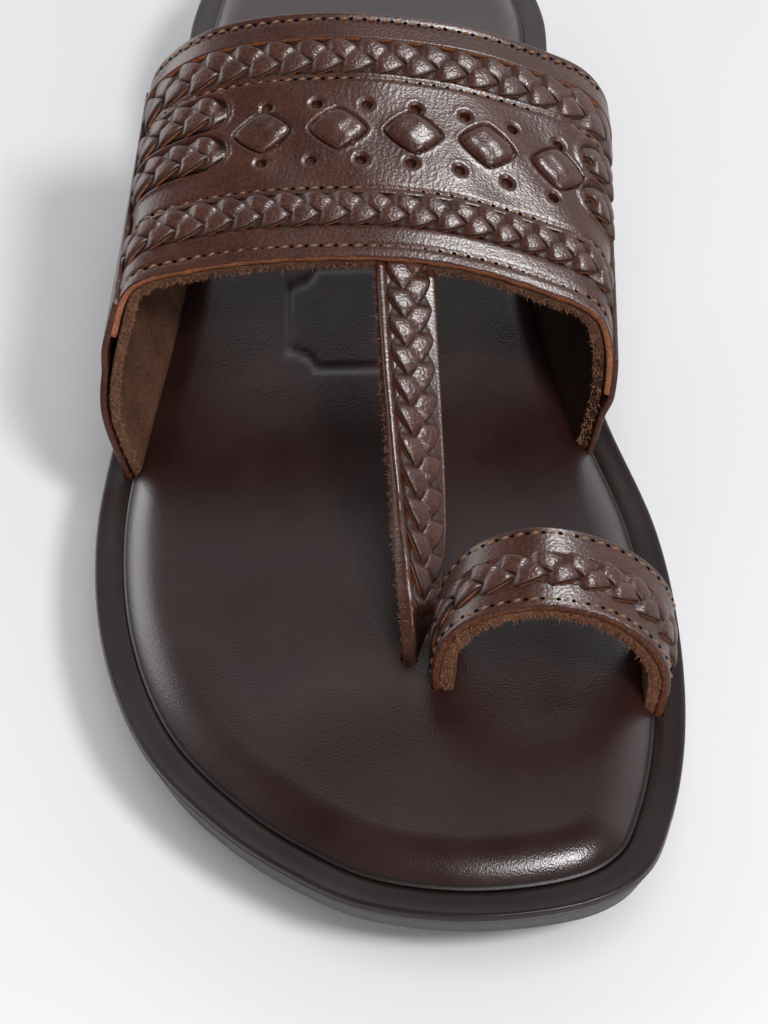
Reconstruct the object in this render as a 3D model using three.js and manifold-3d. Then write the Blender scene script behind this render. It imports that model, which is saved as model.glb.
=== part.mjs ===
// A right-foot kolhapuri sandal: a moulded sole with a rim, a wrapped footbed set inside the rim,
// an instep band with a centre strap, ears that hold the band's ends, and a loop for the big toe.
// Millimetres, +Z up, toes towards -Y, big toe towards +X, standing on z = 0.
import * as THREE from "three";
import { mergeVertices } from "three/addons/utils/BufferGeometryUtils.js";
import Module from "manifold-3d";

const wasm = await Module();
wasm.setup();

// ---------- Driving dimensions ----------
const SOLE_LENGTH = 286;
const RIM_WIDTH = 5.1;
const RIM_HEIGHT = 14;
const RIM_CHAMFER = 1.1;
const TOE_RISE = 2;
const TOE_RISE_LENGTH = 71;
const HEEL_RISE = 8;
const HEEL_RISE_FROM = 121;
const HEEL_RISE_TO = 221;
const WALL_LEAN = 0.24;
const TOE_SPRING = 9;
const TOE_SPRING_LENGTH = 74;
const ARCH_LIFT = 4;
const ARCH_FROM = 128;
const HEEL_BREAST = 204;
const HEEL_ROLL = 1.2;
const TREAD_BEVEL = 1.6;
const SEAT_DEPTH = 3;
const CLEARANCE = 0.3;
const SLOT_RELIEF = 2.5;
const PAD_HEIGHT = 4;
const PAD_CROWN = 0.6;
const HEEL_CUP = 1.6;
const LEATHER = 1.4;
const LINING = 2.0;
const PLAIT_RISE = 1.5;
const LOOP_THICKNESS = 3.6;
const THONG_THICKNESS = 2.4;
const PLAIT_EDGE = 0.4;
const RING_POINTS = 96;

// Lengths along the middle of the instep band, the toe loop and the centre strap.
const BAND_LENGTH = 162;
const LOOP_LENGTH = 78;
const THONG_LENGTH = 92;
const SLOT_END = 2;
const SLOT_REACH = 26;
const THONG_SLOT_REACH = 34;
const EAR_TOP_LATERAL = 37.5;
const EAR_TOP_MEDIAL = 131;
const EAR_TOP_MEDIAL_REAR = 136;
const LAP = 8;
const STEP_LENGTH = 5;
const SIDE_PLAIT_LATERAL_END = 55;
const SIDE_PLAIT_MEDIAL_START = 124.6;
const THONG_PLAIT_RUN = [17, 79];
const LOOP_PLAIT_RUN = [9, 70];

// Places across the straps, in shares of their width from the front edge.
const FRONT_PLAIT = [0.127, 0.254];
const REAR_PLAIT = [0.745, 0.885];
const SIDE_PLAIT_FRONT = [0.4, 0.52];
const SIDE_PLAIT_REAR = [0.56, 0.68];
const THONG_PLAIT = [0.16, 0.9];
const LOOP_PLAIT = [0.27, 0.7];
const PANEL_MIDDLE = 0.51;

// Five lozenges along the middle of the panel.
const BAND_WIDTH = 55;
const LOZENGE_COUNT = 5;
const LOZENGE_START = 63;
const LOZENGE_PITCH = 13.9;
const LOZENGE_LENGTH = 10;
const LOZENGE_WIDTH = 8.4;
const LOZENGE_PUFF = 0.9;

// Half widths of the sole's rim, by distance back from the toe tip.
const TOE_TIP_X = 13.4;
const HEEL_TIP_X = -0.5;
const soleRows = [
  { back: 3, lateral: 4, medial: 32 },
  { back: 9, lateral: 14.5, medial: 40 },
  { back: 19, lateral: 26.3, medial: 44.5 },
  { back: 35, lateral: 38.7, medial: 48.3 },
  { back: 57, lateral: 46.8, medial: 50 },
  { back: 83, lateral: 50, medial: 48.6 },
  { back: 111, lateral: 48.3, medial: 42.6 },
  { back: 141, lateral: 44.1, medial: 37 },
  { back: 173, lateral: 40.5, medial: 34.9 },
  { back: 207, lateral: 39.1, medial: 37.2 },
  { back: 237, lateral: 38.7, medial: 38.4 },
  { back: 259, lateral: 33.9, medial: 33 },
  { back: 275, lateral: 24.3, medial: 23.3 },
  { back: 283, lateral: 13.5, medial: 12.6 },
];

// The instep band's outer surface: the foot's arch at its front edge and at its rear edge,
// from the lateral slot in the sole, over the instep, to the medial slot.
const bandFront = [
  { x: -44.6, back: 99.2, z: 9.5 },
  { x: -46.4, back: 100.5, z: 15 },
  { x: -49.6, back: 105.5, z: 25.5 },
  { x: -47.4, back: 113, z: 36.5 },
  { x: -43.9, back: 117.8, z: 43 },
  { x: -31.7, back: 119.6, z: 45.8 },
  { x: -8, back: 120.3, z: 47.2 },
  { x: 14, back: 119.5, z: 45.5 },
  { x: 30.5, back: 117, z: 41 },
  { x: 40.2, back: 114.4, z: 37 },
  { x: 42.4, back: 111.6, z: 32.3 },
  { x: 42.2, back: 107.5, z: 25.3 },
  { x: 39.1, back: 102.4, z: 15 },
  { x: 37.3, back: 99.8, z: 9.5 },
];
const bandRear = [
  { x: -36.8, back: 177.4, z: 13.5 },
  { x: -37.8, back: 176.6, z: 19 },
  { x: -43.6, back: 175, z: 31 },
  { x: -43.2, back: 173.6, z: 43 },
  { x: -39.8, back: 172.6, z: 53.5 },
  { x: -30, back: 172, z: 61.6 },
  { x: -7, back: 172, z: 64.8 },
  { x: 14, back: 172, z: 62 },
  { x: 31, back: 172, z: 56.4 },
  { x: 41.5, back: 172.3, z: 50.4 },
  { x: 46, back: 173, z: 42 },
  { x: 44.6, back: 174.5, z: 31 },
  { x: 31.4, back: 177, z: 19 },
  { x: 29.8, back: 178, z: 13.5 },
];

// The toe loop's outer surface at its front and rear edges, from the slit between the toes
// over the big toe to the slot at the medial rim.
const loopFront = [
  { x: 9.4, back: 44.4, z: 10.5 },
  { x: 7.9, back: 43.6, z: 17.5 },
  { x: 7.7, back: 43.7, z: 23 },
  { x: 9.6, back: 43.9, z: 29.4 },
  { x: 14.2, back: 44, z: 33.9 },
  { x: 25, back: 44.3, z: 36.3 },
  { x: 36, back: 43.8, z: 33.8 },
  { x: 42.8, back: 42.5, z: 28.6 },
  { x: 46, back: 41.4, z: 22.4 },
  { x: 45.7, back: 40.4, z: 15.8 },
  { x: 44.2, back: 39.8, z: 10.5 },
];
const loopRear = [
  { x: 11, back: 58.6, z: 10.5 },
  { x: 9.8, back: 58.4, z: 18 },
  { x: 9.6, back: 58.6, z: 24 },
  { x: 11.8, back: 59, z: 30.8 },
  { x: 16.4, back: 59, z: 36.2 },
  { x: 26, back: 59, z: 39.3 },
  { x: 38.2, back: 58.8, z: 35.2 },
  { x: 45.6, back: 58.2, z: 28.4 },
  { x: 48.2, back: 57.6, z: 21.8 },
  { x: 46.4, back: 57, z: 15.4 },
  { x: 44.6, back: 56.6, z: 10.5 },
];

// The centre strap: the middle of its outer face, its width, and how far it has turned
// towards the big toe on its way down to the slit.
const thongRows = [
  { x: 5.3, back: 134, z: 48.5, width: 10, turn: 6 },
  { x: 5.5, back: 121, z: 44.4, width: 9.8, turn: 12 },
  { x: 6, back: 101, z: 38.2, width: 9.6, turn: 20 },
  { x: 6.5, back: 88, z: 33.8, width: 9.6, turn: 28 },
  { x: 7.1, back: 73, z: 28.2, width: 9.6, turn: 39 },
  { x: 7.2, back: 63, z: 24, width: 9.6, turn: 56 },
  { x: 6.5, back: 55, z: 19, width: 9.4, turn: 77 },
  { x: 6.3, back: 51, z: 11, width: 9, turn: 82 },
];

// ---------- Small helpers ----------
const lengthwise = (back) => back - SOLE_LENGTH / 2;
const smooth = THREE.MathUtils.smoothstep;
const lerp = THREE.MathUtils.lerp;

function curveThrough(rows, closed = false) {
  const points = rows.map((row) => new THREE.Vector3(row.x, lengthwise(row.back), row.z ?? 0));
  return new THREE.CatmullRomCurve3(points, closed, "centripetal");
}

function solidGeometry(vertices, triangles) {
  const geometry = new THREE.BufferGeometry();
  const positions = vertices.flatMap((vertex) => [vertex.x, vertex.y, vertex.z]);
  geometry.setAttribute("position", new THREE.Float32BufferAttribute(positions, 3));
  geometry.setIndex(triangles.flat());
  return mergeVertices(geometry, 1e-4);
}

function toSolid(geometry) {
  const merged = mergeVertices(geometry, 1e-4);
  const index = merged.index.array;
  const kept = [];
  for (let i = 0; i < index.length; i += 3) {
    const [a, b, c] = [index[i], index[i + 1], index[i + 2]];
    if (a !== b && b !== c && c !== a) kept.push(a, b, c);
  }
  const vertProperties = new Float32Array(merged.attributes.position.array);
  const mesh = new wasm.Mesh({ numProp: 3, vertProperties, triVerts: new Uint32Array(kept) });
  return new wasm.Manifold(mesh);
}

function toGeometry(solid) {
  const mesh = solid.getMesh();
  const geometry = new THREE.BufferGeometry();
  geometry.setAttribute("position", new THREE.Float32BufferAttribute(mesh.vertProperties, 3));
  geometry.setIndex([...mesh.triVerts]);
  return geometry;
}

// ---------- Sole and footbed ----------
const outline = curveThrough([
  { x: TOE_TIP_X, back: 0 },
  ...soleRows.map((row) => ({ x: row.medial, back: row.back })),
  { x: HEEL_TIP_X, back: SOLE_LENGTH },
  ...soleRows.toReversed().map((row) => ({ x: -row.lateral, back: row.back })),
], true);

function rimTop(y) {
  const back = y + SOLE_LENGTH / 2;
  const toe = TOE_RISE * Math.max(0, 1 - back / TOE_RISE_LENGTH) ** 2;
  return RIM_HEIGHT + toe + HEEL_RISE * smooth(back, HEEL_RISE_FROM, HEEL_RISE_TO);
}

function treadHeight(y, x) {
  const back = y + SOLE_LENGTH / 2;
  const spring = TOE_SPRING * Math.max(0, 1 - back / TOE_SPRING_LENGTH) ** 1.8;
  const arch = smooth(back, ARCH_FROM, ARCH_FROM + 34) * (1 - smooth(back, HEEL_BREAST - 12, HEEL_BREAST));
  const roll = HEEL_ROLL * Math.max(0, (back - SOLE_LENGTH + 12) / 12) ** 2;
  return spring + ARCH_LIFT * arch * (1 + 0.3 * x / 40) + roll;
}

function padTop(y, x) {
  const back = y + SOLE_LENGTH / 2;
  const cup = HEEL_CUP * smooth(back, 195, 235) * (1 - (x / 40) ** 2);
  return rimTop(y) + PAD_HEIGHT - cup;
}

// The outline moved inwards by a distance, at a height that is a function of place.
function ring(inset, height) {
  const points = [];
  for (let i = 0; i < RING_POINTS; i += 1) {
    const at = outline.getPoint(i / RING_POINTS);
    const along = outline.getTangent(i / RING_POINTS);
    const x = at.x - along.y * inset;
    const y = at.y + along.x * inset;
    points.push(new THREE.Vector3(x, y, height(y, x)));
  }
  return points;
}

// A solid closed by a deck below its first ring and a deck above its last one. The decks run
// straight across from the medial side to the lateral side, so both follow the height given.
function ringSolid(rings, lowerDeck, upperDeck, columns) {
  const vertices = rings.flat();
  const triangles = [];
  for (let r = 0; r + 1 < rings.length; r += 1) {
    for (let i = 0; i < RING_POINTS; i += 1) {
      const next = (i + 1) % RING_POINTS;
      const low = r * RING_POINTS;
      const high = low + RING_POINTS;
      triangles.push([low + i, low + next, high + next], [low + i, high + next, high + i]);
    }
  }
  const addDeck = (edge, height, facesUp) => {
    const half = RING_POINTS / 2;
    const base = vertices.length;
    for (let row = 0; row <= half; row += 1) {
      const medial = edge[row];
      const lateral = edge[(RING_POINTS - row) % RING_POINTS];
      for (let c = 0; c <= columns; c += 1) {
        const point = new THREE.Vector3().lerpVectors(lateral, medial, c / columns);
        const onEdge = c === 0 || c === columns || row === 0 || row === half;
        if (!onEdge) point.z = height(point.y, point.x, c / columns);
        vertices.push(point);
      }
    }
    for (let row = 0; row < half; row += 1) {
      for (let c = 0; c < columns; c += 1) {
        const a = base + row * (columns + 1) + c;
        const b = a + columns + 1;
        const quad = facesUp ? [[a, a + 1, b + 1], [a, b + 1, b]] : [[a, b + 1, a + 1], [a, b, b + 1]];
        triangles.push(...quad);
      }
    }
  };
  addDeck(rings[0], lowerDeck, false);
  addDeck(rings.at(-1), upperDeck, true);
  return toSolid(solidGeometry(vertices, triangles));
}

function outsoleSolid() {
  const wallInset = (y, x) => WALL_LEAN * (rimTop(y) - treadHeight(y, x));
  const leanRing = (extra, lift) => {
    const top = ring(0, rimTop);
    const inner = ring(10, rimTop);
    return top.map((point, i) => {
      const share = (wallInset(point.y, point.x) + extra) / 10;
      const moved = new THREE.Vector3().lerpVectors(point, inner[i], share);
      moved.z = treadHeight(moved.y, moved.x) + lift;
      return moved;
    });
  };
  const seat = (y) => rimTop(y) - SEAT_DEPTH;
  const rings = [
    leanRing(TREAD_BEVEL, 0),
    leanRing(0, TREAD_BEVEL),
    ring(0, (y) => rimTop(y) - RIM_CHAMFER),
    ring(RIM_CHAMFER, rimTop),
    ring(RIM_WIDTH, rimTop),
    ring(RIM_WIDTH + 0.3, seat),
  ];
  return ringSolid(rings, treadHeight, seat, 6);
}

function footbedSolid() {
  const inner = RIM_WIDTH + CLEARANCE;
  const seat = (y) => rimTop(y) - SEAT_DEPTH + CLEARANCE;
  const above = (rise) => (y) => rimTop(y) + rise;
  const rings = [
    ring(inner + 0.8, seat),
    ring(inner, above(-0.4)),
    ring(inner, above(1.2)),
    ring(inner + 0.9, above(2.7)),
    ring(inner + 2.6, above(3.6)),
    ring(inner + 6, (y, x) => padTop(y, x)),
  ];
  const crown = (y, x, share) => padTop(y, x) + PAD_CROWN * 4 * share * (1 - share);
  return ringSolid(rings, seat, crown, 6);
}

// ---------- Straps ----------
// Turns a distance along a curve into the curve's own parameter, from 0 to 1.
function distanceScale(pointAt) {
  const samples = 400;
  const lengths = [0];
  for (let i = 1; i <= samples; i += 1) {
    lengths.push(lengths[i - 1] + pointAt(i / samples).distanceTo(pointAt((i - 1) / samples)));
  }
  return (distance) => {
    const i = Math.max(1, lengths.findIndex((length) => length >= distance));
    const share = (distance - lengths[i - 1]) / (lengths[i] - lengths[i - 1]);
    return THREE.MathUtils.clamp((i - 1 + share) / samples, 0, 1);
  };
}

// A strap's outer face between two edge curves: d is the distance along its middle, w runs
// across it from 0 at the front to 1 at the rear, and h is the height above the face.
function strapFace(frontRows, rearRows) {
  const front = curveThrough(frontRows);
  const rear = curveThrough(rearRows);
  const onFace = (s, w) => front.getPoint(s).lerp(rear.getPoint(s), w);
  const shareAt = distanceScale((s) => onFace(s, 0.5));
  return (d, w, h) => {
    const s = shareAt(d);
    const step = 0.002;
    const ahead = onFace(Math.min(1, s + step), w);
    const behind = onFace(Math.max(0, s - step), w);
    const alongStrap = ahead.sub(behind);
    const acrossStrap = rear.getPoint(s).sub(front.getPoint(s));
    const normal = alongStrap.cross(acrossStrap).normalize();
    return onFace(s, w).addScaledVector(normal, h);
  };
}

function thongFace(rows) {
  const middle = curveThrough(rows);
  const sizeAt = (s, name) => {
    const place = s * (rows.length - 1);
    const i = Math.min(rows.length - 2, Math.floor(place));
    return lerp(rows[i][name], rows[i + 1][name], smooth(place - i, 0, 1) * 0.5 + (place - i) * 0.5);
  };
  const shareAt = distanceScale((s) => middle.getPoint(s));
  return (d, w, h) => {
    const s = shareAt(d);
    const along = middle.getTangent(s);
    const turn = THREE.MathUtils.degToRad(sizeAt(s, "turn"));
    const level = new THREE.Vector3(1, 0, 0).cross(along).normalize();
    const across = new THREE.Vector3().crossVectors(along, level).normalize();
    across.applyAxisAngle(along, -turn);
    const normal = new THREE.Vector3().crossVectors(along, across).normalize();
    const point = middle.getPoint(s);
    point.addScaledVector(across, (w - 0.5) * sizeAt(s, "width"));
    return point.addScaledVector(normal, h);
  };
}

// A piece of leather on a strap's face: it runs along the strap between two distances, across
// it between two sides, and through from under to over. Each may depend on the place, where
// i and j run from 0 to 1 along and across the piece.
function leather(face, { along, across, under, over, steps, strips }) {
  const vertices = [];
  const rowLength = strips + 1;
  for (const height of [under, over]) {
    for (let i = 0; i <= steps; i += 1) {
      const [front, rear] = across(i / steps);
      for (let j = 0; j <= strips; j += 1) {
        const w = lerp(front, rear, j / strips);
        const [start, end] = along(w);
        vertices.push(face(lerp(start, end, i / steps), w, height(i / steps, j / strips)));
      }
    }
  }
  const layer = (steps + 1) * rowLength;
  const triangles = [];
  const quad = (a, b, c, d) => triangles.push([a, b, c], [a, c, d]);
  for (let i = 0; i < steps; i += 1) {
    for (let j = 0; j < strips; j += 1) {
      const a = i * rowLength + j;
      const [b, c, d] = [a + rowLength, a + rowLength + 1, a + 1];
      quad(layer + a, layer + b, layer + c, layer + d);
      quad(a, d, c, b);
    }
    const first = i * rowLength;
    const last = first + strips;
    quad(first, first + rowLength, layer + first + rowLength, layer + first);
    quad(last, layer + last, layer + last + rowLength, last + rowLength);
  }
  const end = steps * rowLength;
  for (let j = 0; j < strips; j += 1) {
    quad(j, layer + j, layer + j + 1, j + 1);
    quad(end + j, end + j + 1, layer + end + j + 1, layer + end + j);
  }
  return toSolid(solidGeometry(vertices, triangles));
}

const fixed = (...values) => () => (values.length === 1 ? values[0] : values);
const bandFace = strapFace(bandFront, bandRear);
const loopFace = strapFace(loopFront, loopRear);
const strapDown = thongFace(thongRows);

function upperSolid() {
  const band = leather(bandFace, {
    along: fixed(SLOT_END, BAND_LENGTH - SLOT_END),
    across: fixed(0, 1),
    under: fixed(-LEATHER - CLEARANCE - LINING),
    over: fixed(-LEATHER - CLEARANCE),
    steps: 54,
    strips: 5,
  });
  const thong = leather(strapDown, {
    along: fixed(0, THONG_LENGTH),
    across: fixed(0, 1),
    under: fixed(-THONG_THICKNESS),
    over: fixed(0),
    steps: 30,
    strips: 2,
  });
  return band.add(thong);
}

function panelSolid() {
  return leather(bandFace, {
    along: fixed(EAR_TOP_LATERAL - LAP, EAR_TOP_MEDIAL_REAR + LAP),
    across: fixed(0, 1),
    under: fixed(-LEATHER),
    over: fixed(0),
    steps: 30,
    strips: 5,
  });
}

// An ear lies on the lining at the sole, and its top steps out over the panel's end.
function earSolid(along, lapEnd) {
  const isLateral = lapEnd < BAND_LENGTH / 2;
  const stepOut = (i, j) => {
    const [start, end] = along(j);
    const past = isLateral ? lerp(start, end, i) - lapEnd : lapEnd - lerp(start, end, i);
    return (LEATHER + CLEARANCE) * smooth(past, -STEP_LENGTH, -0.3);
  };
  return leather(bandFace, {
    along,
    across: fixed(0, 1),
    under: (i, j) => stepOut(i, j) - LEATHER,
    over: stepOut,
    steps: 18,
    strips: 5,
  });
}

// A plait lies as a low rounded ridge with thin ends.
function plaitSolid(face, along, across, steps) {
  const ridge = (i, j) => {
    const round = Math.sqrt(Math.max(0, 1 - (2 * j - 1) ** 2));
    const taper = Math.min(1, 0.3 + steps * Math.min(i, 1 - i) / 2);
    return CLEARANCE + PLAIT_EDGE + (PLAIT_RISE - PLAIT_EDGE) * round * taper;
  };
  return leather(face, {
    along: fixed(...along),
    across: fixed(...across),
    under: fixed(CLEARANCE),
    over: ridge,
    steps,
    strips: 4,
  });
}

// A small puffed leather lozenge, widest in its middle.
function lozengeSolid(middle) {
  const reach = (i) => (LOZENGE_WIDTH / BAND_WIDTH) * Math.max(0.1, 0.5 - Math.abs(i - 0.5));
  const swell = (i, j) => LOZENGE_PUFF * Math.sin(Math.PI * i) * Math.sin(Math.PI * j);
  const puff = (i, j) => CLEARANCE + PLAIT_EDGE + swell(i, j);
  return leather(bandFace, {
    along: fixed(middle - LOZENGE_LENGTH / 2, middle + LOZENGE_LENGTH / 2),
    across: (i) => [PANEL_MIDDLE - reach(i), PANEL_MIDDLE + reach(i)],
    under: fixed(CLEARANCE),
    over: puff,
    steps: 6,
    strips: 2,
  });
}

function loopSolid() {
  return leather(loopFace, {
    along: fixed(SLOT_END, LOOP_LENGTH - SLOT_END),
    across: fixed(0, 1),
    under: fixed(-LOOP_THICKNESS),
    over: fixed(0),
    steps: 28,
    strips: 3,
  });
}

// The slots that the straps go down into, each a little larger than its strap. The sole's own
// slots are wider inwards, so that no sliver of rim is left standing against the footbed.
function slotForms(extraRoom) {
  const roomFor = (face, start, end, thickness) => leather(face, {
    along: fixed(start, end),
    across: fixed(-0.02, 1.02),
    under: fixed(-thickness - CLEARANCE - extraRoom),
    over: fixed(CLEARANCE),
    steps: 14,
    strips: 3,
  });
  const wall = LEATHER + CLEARANCE + LINING;
  return [
    roomFor(bandFace, 0, SLOT_REACH, wall),
    roomFor(bandFace, BAND_LENGTH - SLOT_REACH, BAND_LENGTH, wall),
    roomFor(loopFace, 0, SLOT_REACH, LOOP_THICKNESS),
    roomFor(loopFace, LOOP_LENGTH - SLOT_REACH, LOOP_LENGTH, LOOP_THICKNESS),
    roomFor(strapDown, THONG_LENGTH - THONG_SLOT_REACH, THONG_LENGTH + 1, THONG_THICKNESS),
  ];
}

// ---------- Assembly ----------
const looks = {
  sole: new THREE.MeshStandardMaterial({ color: 0x3a3030, roughness: 0.6, metalness: 0 }),
  footbed: new THREE.MeshStandardMaterial({ color: 0x2a1a1a, roughness: 0.4, metalness: 0 }),
  strap: new THREE.MeshStandardMaterial({ color: 0x4a2c22, roughness: 0.45, metalness: 0 }),
  lining: new THREE.MeshStandardMaterial({ color: 0x6a4a36, roughness: 0.9, metalness: 0 }),
  plait: new THREE.MeshStandardMaterial({ color: 0x52301f, roughness: 0.4, metalness: 0 }),
};

const sandal = new THREE.Group();

function addPiece(name, solid, material) {
  const mesh = new THREE.Mesh(toGeometry(solid), material);
  mesh.name = name;
  sandal.add(mesh);
}

const cutFor = (solid, forms) => forms.reduce((left, form) => left.subtract(form), solid);

addPiece("outsole", cutFor(outsoleSolid(), slotForms(SLOT_RELIEF)), looks.sole);
addPiece("footbed", cutFor(footbedSolid(), slotForms(0)), looks.footbed);
addPiece("upper", upperSolid(), looks.lining);
addPiece("toe_loop", loopSolid(), looks.strap);
addPiece("instep_panel", panelSolid(), looks.strap);

const lateralEar = fixed(SLOT_END, EAR_TOP_LATERAL);
const medialEar = (w) => [lerp(EAR_TOP_MEDIAL, EAR_TOP_MEDIAL_REAR, w), BAND_LENGTH - SLOT_END];
addPiece("ear_lateral", earSolid(lateralEar, EAR_TOP_LATERAL - LAP), looks.strap);
addPiece("ear_medial", earSolid(medialEar, EAR_TOP_MEDIAL_REAR + LAP), looks.strap);

const panelRun = [EAR_TOP_LATERAL + 1, EAR_TOP_MEDIAL - 1];
addPiece("plait_front", plaitSolid(bandFace, panelRun, FRONT_PLAIT, 26), looks.plait);
addPiece("plait_rear", plaitSolid(bandFace, panelRun, REAR_PLAIT, 26), looks.plait);
const lateralPlait = [EAR_TOP_LATERAL + 1, SIDE_PLAIT_LATERAL_END];
const medialPlait = [SIDE_PLAIT_MEDIAL_START, EAR_TOP_MEDIAL - 1];
addPiece("plait_side_1", plaitSolid(bandFace, lateralPlait, SIDE_PLAIT_FRONT, 6), looks.plait);
addPiece("plait_side_2", plaitSolid(bandFace, lateralPlait, SIDE_PLAIT_REAR, 6), looks.plait);
addPiece("plait_side_3", plaitSolid(bandFace, medialPlait, SIDE_PLAIT_FRONT, 5), looks.plait);
addPiece("plait_side_4", plaitSolid(bandFace, medialPlait, SIDE_PLAIT_REAR, 5), looks.plait);
addPiece("plait_thong", plaitSolid(strapDown, THONG_PLAIT_RUN, THONG_PLAIT, 20), looks.plait);
addPiece("plait_toe_loop", plaitSolid(loopFace, LOOP_PLAIT_RUN, LOOP_PLAIT, 22), looks.plait);
for (let i = 0; i < LOZENGE_COUNT; i += 1) {
  const middle = LOZENGE_START + i * LOZENGE_PITCH;
  addPiece(`lozenge_${i + 1}`, lozengeSolid(middle), looks.plait);
}

export default sandal;
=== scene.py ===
"""The looks of a right kolhapuri sandal: a moulded sole, a wrapped footbed, a plaited instep band
with a centre strap, and a plaited loop for the big toe.

Pieces are shaped flat or as plain rings in millimetres, then laid on the sandal in metres.
On a strap, x runs along it, y across it from its front edge, and z stands off its outer face.
"""
import math

import bpy
import numpy as np
from mathutils import Matrix, Vector


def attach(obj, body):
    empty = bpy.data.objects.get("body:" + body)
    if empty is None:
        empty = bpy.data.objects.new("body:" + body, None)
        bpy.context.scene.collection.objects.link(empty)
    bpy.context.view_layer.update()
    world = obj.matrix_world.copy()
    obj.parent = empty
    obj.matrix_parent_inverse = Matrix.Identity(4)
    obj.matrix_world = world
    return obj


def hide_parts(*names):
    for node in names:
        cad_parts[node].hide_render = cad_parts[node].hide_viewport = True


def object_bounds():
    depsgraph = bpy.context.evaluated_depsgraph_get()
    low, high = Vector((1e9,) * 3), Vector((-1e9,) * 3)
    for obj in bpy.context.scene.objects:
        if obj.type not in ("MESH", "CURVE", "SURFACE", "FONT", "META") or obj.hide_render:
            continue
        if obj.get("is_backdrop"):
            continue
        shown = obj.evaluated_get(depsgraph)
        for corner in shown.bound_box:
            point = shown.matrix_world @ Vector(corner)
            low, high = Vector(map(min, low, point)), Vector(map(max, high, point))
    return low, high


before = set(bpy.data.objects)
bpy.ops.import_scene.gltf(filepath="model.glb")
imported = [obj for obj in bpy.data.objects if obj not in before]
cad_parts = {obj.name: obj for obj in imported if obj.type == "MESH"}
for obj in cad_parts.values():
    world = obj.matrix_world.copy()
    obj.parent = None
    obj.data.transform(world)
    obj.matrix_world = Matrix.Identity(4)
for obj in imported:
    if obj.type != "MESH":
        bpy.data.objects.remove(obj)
cad_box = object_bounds()

# ---------- Sizes, in millimetres ----------
MM = 0.001
SOLE_LENGTH = 286
RIM_WIDTH = 5.1
RIM_HEIGHT = 14
TOE_RISE = 2
TOE_RISE_LENGTH = 71
HEEL_RISE = 8
HEEL_RISE_FROM = 121
HEEL_RISE_TO = 221
WALL_LEAN = 0.24
TOE_SPRING = 9
TOE_SPRING_LENGTH = 74
ARCH_LIFT = 4
ARCH_FROM = 128
HEEL_BREAST = 204
HEEL_ROLL = 1.2
HEEL_ROLL_LENGTH = 12
ARCH_EASE = 34
BREAST_EASE = 12
SEAT_DEPTH = 3
CLEARANCE = 0.3
PAD_HEIGHT = 4
PAD_CROWN = 0.6
HEEL_CUP = 1.6
SHOULDER_WIDTH = 7.2
SHOULDER_RISE = 3.4
SHOULDER_SLOPE = 58
TREAD_PITCH = 9
TREAD_DEPTH = 1.1
LEATHER = 1.4
LINING = 2.0
EAR_LEATHER = 1.2
BAND_LENGTH = 162
BAND_WIDTH = 55
LOOP_LENGTH = 78
LOOP_WIDTH = 15
THONG_LENGTH = 92
THONG_WIDTH = 9.6
THONG_THICKNESS = 2.4
LOOP_THICKNESS = 3.6
LOOP_LEATHER = 1.5
BAND_SLOT_REACH = 27
LOOP_SLOT_REACH = 26
THONG_SLOT_REACH = 34
SLOT_ROOM = 0.12
PLAIT_THICKNESS = 0.95
EAR_TOP_LATERAL = 37.5
EAR_TOP_MEDIAL = 131
EAR_TOP_MEDIAL_REAR = 136
LAP = 8
RING_POINTS = 720
# Edges are shaded smooth below one angle, and softened as cut edges above the other.
SMOOTH_BELOW = math.radians(60)
CUT_ABOVE = math.radians(50)

# Where the pieces of the band lie across it, from its front edge.
FRONT_STRIP = (0, 7.3)
FRONT_PLAIT = (6.8, 14.2)
PANEL = (13.9, 40.9)
REAR_PLAIT = (40.6, 48.9)
REAR_STRIP = (48.5, 55)
FRONT_SEAM = 2.6
PANEL_SEAMS = (PANEL[0] + 1.2, PANEL[1] - 1.2)
REAR_SEAM = 53.2

# The stamp in the footbed: middle, half width, half length, and the scoop at its corners.
STAMP_X = -3.4
STAMP_Y = -5.5
STAMP_HALF_WIDTH = 13
STAMP_HALF_LENGTH = 14
STAMP_SCOOP = 5.0

TOE_TIP_X = 13.4
HEEL_TIP_X = -0.5
# Half widths of the sole: distance back from the toe tip, lateral side, medial side.
SOLE_ROWS = [
    (3, 4, 32), (9, 14.5, 40), (19, 26.3, 44.5), (35, 38.7, 48.3), (57, 46.8, 50),
    (83, 50, 48.6), (111, 48.3, 42.6), (141, 44.1, 37), (173, 40.5, 34.9), (207, 39.1, 37.2),
    (237, 38.7, 38.4), (259, 33.9, 33), (275, 24.3, 23.3), (283, 13.5, 12.6),
]
# The straps' edges: x, distance back from the toe tip, height.
BAND_FRONT = [
    (-44.6, 99.2, 9.5), (-46.4, 100.5, 15), (-49.6, 105.5, 25.5), (-47.4, 113, 36.5),
    (-43.9, 117.8, 43), (-31.7, 119.6, 45.8), (-8, 120.3, 47.2), (14, 119.5, 45.5),
    (30.5, 117, 41), (40.2, 114.4, 37), (42.4, 111.6, 32.3), (42.2, 107.5, 25.3),
    (39.1, 102.4, 15), (37.3, 99.8, 9.5),
]
BAND_REAR = [
    (-36.8, 177.4, 13.5), (-37.8, 176.6, 19), (-43.6, 175, 31), (-43.2, 173.6, 43),
    (-39.8, 172.6, 53.5), (-30, 172, 61.6), (-7, 172, 64.8), (14, 172, 62),
    (31, 172, 56.4), (41.5, 172.3, 50.4), (46, 173, 42), (44.6, 174.5, 31),
    (31.4, 177, 19), (29.8, 178, 13.5),
]
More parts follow.
